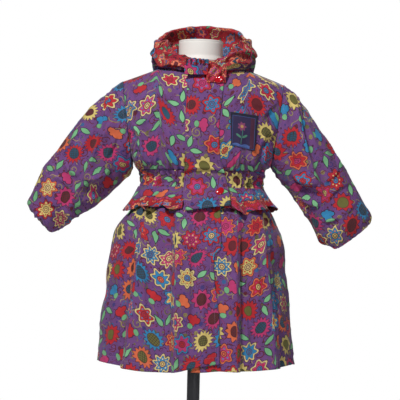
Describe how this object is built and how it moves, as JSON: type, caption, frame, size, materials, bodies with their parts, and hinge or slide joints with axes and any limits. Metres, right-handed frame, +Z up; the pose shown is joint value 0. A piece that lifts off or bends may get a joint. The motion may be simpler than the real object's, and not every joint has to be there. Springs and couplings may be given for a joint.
{
  "type": "child's hooded coat on a limbless dress form with a stand",
  "caption": "Child's long-sleeved coat with a turned-down hood, front flap, shirred waist, short frill and flared skirt, on a limbless dress form with a pole and round base",
  "frame": {"origin": "the middle of the underside of the stand's base, which stands on the floor", "axes": "+Z is up along the pole; the coat's front faces -Y; +X is towards the wearer's left"},
  "size_m": [0.7492, 0.3217, 1.1001],
  "materials": {
    "print": "matt cotton, purple with a dense print of many-coloured flowers",
    "red_print": "matt cotton, red with a print of small flowers",
    "patch": "dark blue cloth patch",
    "button": "glossy red",
    "form": "smooth off-white",
    "stand": "satin grey"
  },
  "bodies": {
    "root": {"bodice_front_right": "print", "bodice_front_left": "print", "bodice_back": "print", "front_flap": "print", "sleeve_right": "print", "sleeve_left": "print", "waist_front_right": "print", "waist_front_left": "print", "waist_back": "print", "skirt_front_right": "print", "skirt_front_left": "print", "skirt_back": "print", "frill_front_right": "print", "frill_front_left": "print", "frill_back": "print", "frill_band_front_right": "red_print", "frill_band_front_left": "red_print", "frill_band_back": "red_print", "hood_outer": "print", "hood_lining": "red_print", "neck_tab": "red_print", "breast_patch": "patch", "button_neck": "button", "button_waist": "button", "form_torso": "form", "form_neck_cap": "form", "form_flange": "stand", "stand_pole": "stand", "stand_base": "stand"}
  },
  "joints": []
}
